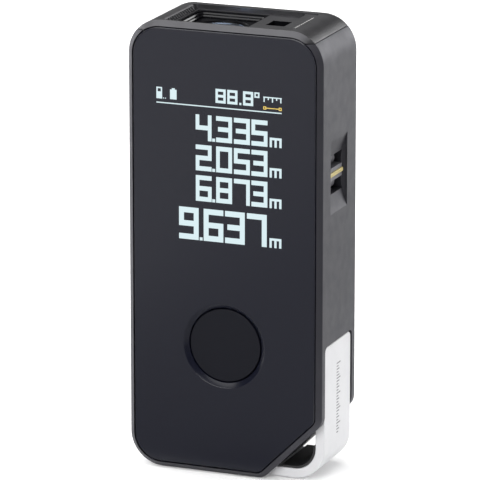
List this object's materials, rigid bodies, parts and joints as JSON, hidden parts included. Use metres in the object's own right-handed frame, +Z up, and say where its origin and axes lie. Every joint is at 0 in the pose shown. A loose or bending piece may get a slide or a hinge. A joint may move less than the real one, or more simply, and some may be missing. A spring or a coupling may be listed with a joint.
{
  "type": "laser distance meter",
  "caption": "Pocket laser distance meter: slab body with a flush display panel, a round measure button, a side mode lever, a windowed measuring end and a wrist strap loop.",
  "frame": {"origin": "middle of the base the instrument stands on, which is also the plane it measures from", "axes": "+Z up the body and out along the laser beam, -Y out of the display, +X towards the side with the mode lever and the strap loop"},
  "size_m": [0.033, 0.0162, 0.0736],
  "materials": {
    "housing": "fine bead-blasted dark grey anodised look, satin",
    "cap": "dark grey moulded plastic, satin",
    "panel": "black semi-matt display panel",
    "button": "black satin",
    "black_plastic": "black moulded",
    "light_plastic": "off-white moulded",
    "strap_metal": "pale satin silver",
    "accent": "yellow inlay",
    "lens_glass": "coated clear glass",
    "display_glass": "dark liquid-crystal cell",
    "circuit_board": "green solder mask over glass-fibre laminate",
    "chip": "moulded epoxy",
    "steel": "plated steel",
    "brass": "turned brass",
    "bracket": "glass-filled black nylon",
    "cell_wrap": "laminated aluminium pouch",
    "foam": "closed-cell foam and sealing tape",
    "red_wire": "silicone insulation",
    "flex_film": "amber polyimide"
  },
  "bodies": {
    "case": {"battery_board": "circuit_board", "battery_cell": "cell_wrap", "battery_connector": "light_plastic", "battery_foam": "foam", "battery_lead_black": "black_plastic", "battery_lead_red": "red_wire", "button_switch": "chip", "buzzer": "chip", "cap_screw_1": "steel", "cap_screw_2": "steel", "chassis": "black_plastic", "chassis_screw_1": "steel", "chassis_screw_2": "steel", "chassis_screw_3": "steel", "chassis_screw_4": "steel", "collimator_lens": "lens_glass", "crystal": "steel", "display_backlight": "steel", "display_connector": "chip", "display_flex": "flex_film", "display_glass": "display_glass", "emitter_window": "lens_glass", "front_panel": "panel", "inductor": "chip", "laser_barrel": "brass", "laser_diode": "steel", "lens_retainer": "black_plastic", "lever_board": "circuit_board", "lever_bracket": "black_plastic", "lever_pin": "steel", "lever_switch": "chip", "loop_liner": "black_plastic", "main_board": "circuit_board", "main_housing": "housing", "optics_bracket": "bracket", "panel_gasket": "foam", "power_chip": "chip", "processor": "chip", "rear_cover": "housing", "receiver_board": "circuit_board", "receiver_filter": "lens_glass", "receiver_lens": "lens_glass", "receiver_sensor": "steel", "receiver_shield": "steel", "strap_screw_base": "steel", "strap_screw_side": "steel", "top_cap": "cap", "usb_shell": "steel", "usb_tongue": "black_plastic", "wireless_chip": "chip", "wrist_strap_loop": "strap_metal"},
    "button": {"measure_button": "button", "button_switch_plunger": "light_plastic"},
    "lever": {"side_lever": "housing", "lever_accent": "accent"},
    "switch_slider": {"lever_switch_slider": "light_plastic"}
  },
  "joints": [
    {"name": "button_press", "type": "slide", "parent": "case", "child": "button", "axis": [0, 1, 0], "range_m": [0, 0.0004], "stiffness_N_per_m": 400, "springref_m": -0.0002},
    {"name": "lever_tilt", "type": "hinge", "parent": "case", "child": "lever", "pos_m": [0.0106, 0, 0.0496], "axis": [0, 1, 0], "range_deg": [-6, 6], "stiffness_Nm_per_rad": 0.01},
    {"name": "slider_travel", "type": "slide", "parent": "case", "child": "switch_slider", "axis": [0, 0, 1], "range_m": [-0.00075, 0.00075]}
  ],
  "couplings": [
    {"joint": "slider_travel", "follows": "lever_tilt", "m_per_rad": 0.0032}
  ]
}
